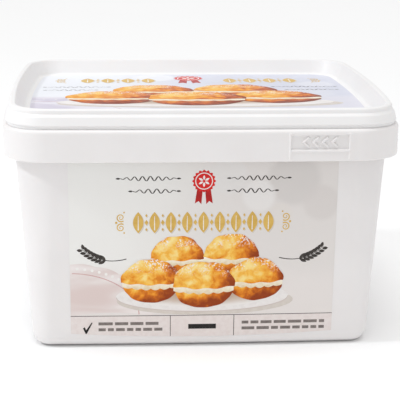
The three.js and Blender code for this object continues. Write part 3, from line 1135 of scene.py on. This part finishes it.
def cloth(place, ink, reach, corner):
    """Scalloped cloth with dots and a stitched line, in a corner whose points run down and right."""
    angles = np.linspace(0, math.pi / 2, CLOTH_STEPS)
    scallop = 1 - CLOTH_SCALLOP_DEPTH * (1 - np.abs(np.sin(CLOTH_SCALLOPS * angles)))
    edge = unit_circle(angles) * reach * scallop[:, None]
    place.fill(ink, np.concatenate([edge, corner]), BACKING)
    dot_angles = np.linspace(*CLOTH_DOT_ENDS, CLOTH_DOTS) * math.pi / 2
    for centre in unit_circle(dot_angles) * CLOTH_DOT_REACH * reach:
        place.fill("paper", dot(centre, CLOTH_DOT_RADIUS), DRAWING)
    stitch = unit_circle(angles[CLOTH_STITCH_SKIP:-CLOTH_STITCH_SKIP]) * CLOTH_STITCH_REACH * reach
    place.stroke("cloth_line", stitch, CLOTH_STITCH_WIDTH, DRAWING)


def plate(place):
    """Oval plate seen from the side, with its rim and the shadow beneath it."""
    well = (PLATE_WELL_MIDDLE, PLATE_WELL_HALF)
    place.fill("drop_shadow", ellipse(PLATE_SHADOW_SHIFT, PLATE_SHADOW_HALF), PLATE_LAYER)
    place.fill("porcelain", ellipse((0, 0), PLATE_HALF), PLATE_LAYER + 1)
    place.fill("plate", ellipse(*well), PLATE_LAYER + 2, *well)
    near_edge = ellipse((0, 0), PLATE_EDGE_HALF, math.pi, 2 * math.pi, LINE_STEPS)
    place.stroke("porcelain_edge", near_edge, PLATE_EDGE_WIDTH, PLATE_LAYER + 2)


def lumpy(angles, draw, size):
    """Uneven radius round a bun, as a column."""
    lumps = [part * np.sin(n * angles + draw.uniform(0, LUMP_PHASE)) for n, part in LUMP_WAVES]
    return (1 + size * sum(lumps))[:, None]


def puff(place, crust, width, layer, seed):
    """Split choux bun: lower shell, piped cream and a sugar-dusted cap."""
    draw = random.Random(seed)
    half = width / 2
    shell_half = 0.94 * half
    shell_depth = 0.31 * width
    cream_half = 0.97 * half
    cream_top = 0.1 * width
    cream_drop = 0.05 * width
    cream_wave = 0.035 * width
    cream_waves = 6
    cream_taper = 0.7
    cap_base = 0.06 * width
    cap_rise = 0.43 * width
    brim_sag = 0.045 * width
    brim_ripple = 0.012 * width
    brim_ripples = 9
    bun = ((0, cap_base), (half, cap_rise))

    under = np.linspace(math.pi, 2 * math.pi, CURVE_STEPS)
    shell = unit_circle(under) * (shell_half, shell_depth) * lumpy(under, draw, SHELL_LUMPS)
    place.fill(crust, shell, layer, *bun)

    upper = level_line(cream_half, -cream_half, cream_top, LINE_STEPS)
    x = upper[::-1, 0]
    waves = np.abs(np.sin(np.linspace(0, cream_waves * math.pi, LINE_STEPS)))
    drop = (cream_drop + cream_wave * waves) * (1 - cream_taper * (x / half) ** 2)
    cream = np.concatenate([np.column_stack([x, -drop]), upper])
    place.fill("cream", cream, layer + 1, half=(half, cream_top))

    over = np.linspace(0, math.pi, CAP_STEPS)
    dome = unit_circle(over) * (half, cap_rise) * lumpy(over, draw, CAP_LUMPS) + (0, cap_base)
    x = np.linspace(-cream_half, cream_half, EDGE_STEPS) / half
    sag = brim_sag * (1 - x ** 2) + brim_ripple * np.sin(brim_ripples * x + seed)
    brim = np.column_stack([x * half, cap_base - sag])
    place.fill(crust, np.concatenate([dome, brim]), layer + 2, *bun)


def heap(sheet, crust, middle, scale):
    """Puffs piled on a plate, the upper ones behind."""
    plate(Place(sheet, middle, scale))
    for index, (x, y, width) in enumerate(HEAP):
        spot = Place(sheet, (middle[0] + x * scale, middle[1] + y * scale), scale)
        puff(spot, crust, width, PUFF_LAYER + LAYERS_PER_PUFF * index, seed=index)


def dashes(place, left, right, y, draw):
    """Row of short bars of uneven length."""
    x = left
    while x < right - DASH_LEAST:
        length = min(draw.uniform(*DASH_LENGTHS), right - x)
        place.fill("grey", box(x, y, x + length, y + DASH_HEIGHT), OVERPRINT)
        x += length + DASH_GAP


# The two labels

def front_print(inks):
    sheet = Sheet("front_print", on_front, "front_film")
    whole = Place(sheet)
    draw = random.Random(DASH_SEED)
    x = np.linspace(-FRONT_HALF, FRONT_HALF, EDGE_STEPS)
    edge = np.column_stack([x, front_bottom(x)]) / MM
    left, right = edge[[0, -1], 0]
    strip = np.concatenate([edge, level_line(right, left, STRIP_TOP, EDGE_STEPS)])
    whole.fill("strip", strip, FIELD)
    whole.stroke("dark", level_line(left, right, STRIP_TOP, LINE_STEPS), RULE_WIDTH, DRAWING)
    whole.fill("black", box(*STRIP_BAR), OVERPRINT)
    Place(sheet, TICK_PLACE, TICK_SCALE).fill("black", TICK, OVERPRINT)
    for y in DASH_ROWS:
        for dash_left, dash_right in DASH_SPANS:
            dashes(whole, dash_left, dash_right, y, draw)
    cloth_corner = (left + FRONT_CLOTH_GAP[0], STRIP_TOP + FRONT_CLOTH_GAP[1])
    cloth(Place(sheet, cloth_corner), "cloth", FRONT_CLOTH, [(0, 0)])
    rosette(Place(sheet, FRONT_ROSETTE))
    leaf_band(Place(sheet, FRONT_BAND), FRONT_BAND_LEAVES)
    for side in (-1, 1):
        divider = [(DIVIDER, level) for level in DIVIDER_LEVELS]
        Place(sheet, mirror=side).stroke("dark", divider, RULE_WIDTH, DRAWING)
        garland(Place(sheet, FRONT_LONG_GARLAND, mirror=side), **LONG_GARLAND)
        garland(Place(sheet, FRONT_SHORT_GARLAND, mirror=side), **SHORT_GARLAND)
        scroll(Place(sheet, FRONT_SCROLL, FRONT_SCROLL_SCALE, mirror=side))
        sprig(Place(sheet, FRONT_SPRIG, FRONT_SPRIG_SCALE, FRONT_SPRIG_TURN, mirror=side))
    heap(sheet, "pastry", FRONT_HEAP, FRONT_HEAP_SCALE)
    sheet.make(inks)


def lid_print(inks):
    sheet = Sheet("lid_print", on_lid, "lid_film")
    right_quarter = quarter(LID_FILM_INSET + PRINT_MARGIN, LID_LABEL_CORNER, EVEN_FRONT)
    side_to_foot = right_quarter[::-1] * (-1, 1) / MM
    low = side_to_foot.min(axis=0)
    corner = side_to_foot - low
    within = (corner < np.array(LID_CLOTH) - LID_CLOTH_MARGIN).all(axis=1)
    cloth(Place(sheet, low), "lilac_cloth", LID_CLOTH, corner[within])
    rosette(Place(sheet, LID_ROSETTE, LID_ROSETTE_SCALE))
    for side in (-1, 1):
        leaf_band(Place(sheet, (side * LID_BAND_X, LID_BAND_Y), LID_BAND_SCALE), LID_BAND_LEAVES)
        scroll(Place(sheet, LID_SCROLL, LID_LINE_SCALE, mirror=side))
        garland(Place(sheet, LID_LONG_GARLAND, LID_LINE_SCALE, mirror=side), **LONG_GARLAND)
        garland(Place(sheet, LID_SHORT_GARLAND, LID_LINE_SCALE, mirror=side), **SHORT_GARLAND)
    # The lid's puffs take the darker crust ink, painted shade against the lid's stronger top light
    heap(sheet, "lid_pastry", LID_HEAP, LID_HEAP_SCALE)
    sheet.make(inks)


def make_inks():
    inks = {"plate": plate_material("ink_plate"), "cream": cream_material("ink_cream")}
    kinds = [(ink_material, PLAIN_INKS), (cloth_material, CLOTH_INKS), (pastry_material, CRUST_INKS)]
    for make_material, colours in kinds:
        for name, tones in colours.items():
            inks[name] = make_material(f"ink_{name}", *[srgb(*tone) for tone in tones])
    return inks


def front_ground():
    """Ground of the front label, with discs of (x, z, radius, colour) in millimetres."""
    discs = [
        (44, 88, 13, srgb(214, 209, 206)),
        (27, 80, 8, srgb(236, 233, 231)),
        (58, 76, 9, srgb(219, 213, 210)),
        (38, 70, 6, srgb(228, 222, 217)),
        (12, 90, 9, srgb(230, 227, 225)),
    ]
    return ground_material(
        "front_ground", up_axis=2, base=srgb(240, 239, 236), right_tone=srgb(228, 223, 220),
        near_tone=srgb(233, 227, 224), horizon=40 * MM, discs=discs,
    )


def lid_ground():
    """Ground of the lid's label, with discs of (x, y, radius, colour) in millimetres."""
    discs = [
        (62, 10, 16, srgb(222, 223, 233)),
        (72, 38, 10, srgb(228, 229, 238)),
        (-20, 62, 12, srgb(240, 241, 246)),
        (-74, -4, 12, srgb(240, 241, 247)),
    ]
    return ground_material(
        "lid_ground", up_axis=1, base=srgb(236, 238, 244), right_tone=srgb(214, 216, 229),
        near_tone=srgb(222, 221, 231), horizon=0.0, discs=discs,
    )


def make_labels():
    make_front_film(front_ground())
    make_lid_film(lid_ground())
    inks = make_inks()
    front_print(inks)
    lid_print(inks)


# Studio

def make_floor():
    corners = [(-1, -1, 0), (1, -1, 0), (1, 1, 0), (-1, 1, 0)]
    mesh = bpy.data.meshes.new("floor")
    mesh.from_pydata([Vector(corner) * FLOOR_HALF for corner in corners], [], [[0, 1, 2, 3]])
    material, tree, shader = new_material("pale_floor", roughness=0.9)
    cloud = noise(tree, scale=3.0)
    paint(tree, shader, mix(tree, cloud, FLOOR_DEEP, FLOOR_PALE))
    mesh.materials.append(material)
    floor = add_object("floor", mesh)


def hang_light(light, place, power):
    """Puts a light at a place, facing the tub."""
    light.energy = power
    lamp = add_object(light.name, light)
    lamp.location = place
    lamp.rotation_euler = (CAMERA_TARGET - Vector(place)).to_track_quat("-Z", "Y").to_euler()


def make_lights():
    """White surroundings, a cool key from the left and a broad soft top light."""
    world = bpy.data.worlds.new("studio")
    world.use_nodes = True
    background = world.node_tree.nodes["Background"]
    background.inputs["Color"].default_value = (1, 1, 1, 1)
    background.inputs["Strength"].default_value = WORLD_STRENGTH
    bpy.context.scene.world = world
    key = bpy.data.lights.new("key", "AREA")
    key.shape = "DISK"
    key.size = KEY_SIZE
    key.color = KEY_COLOUR
    hang_light(key, KEY_PLACE, KEY_POWER)
    top = bpy.data.lights.new("top", "SUN")
    top.angle = TOP_ANGLE
    hang_light(top, TOP_PLACE, TOP_POWER)


def make_camera():
    data = bpy.data.cameras.new("camera")
    data.lens = CAMERA_LENS
    data.sensor_width = CAMERA_SENSOR
    data.clip_start = CAMERA_CLIP
    camera = add_object("camera", data)
    level = math.cos(CAMERA_ELEVATION)
    back = Vector((
        math.sin(CAMERA_AZIMUTH) * level,
        -math.cos(CAMERA_AZIMUTH) * level,
        math.sin(CAMERA_ELEVATION),
    ))
    look = (-back).to_track_quat("-Z", "Y").to_matrix().to_4x4()
    place = Matrix.Translation(CAMERA_TARGET + back * CAMERA_DISTANCE)
    camera.matrix_world = place @ look @ Matrix.Rotation(CAMERA_ROLL, 4, "Z")
    bpy.context.scene.camera = camera


make_tub(plastic_material("tub_plastic", TUB_PALE, TUB_DEEP))
make_lid(plastic_material("lid_plastic", LID_PALE, LID_DEEP))
make_labels()
bpy.context.scene.view_settings.view_transform = "Standard"
make_floor()
make_lights()
make_camera()
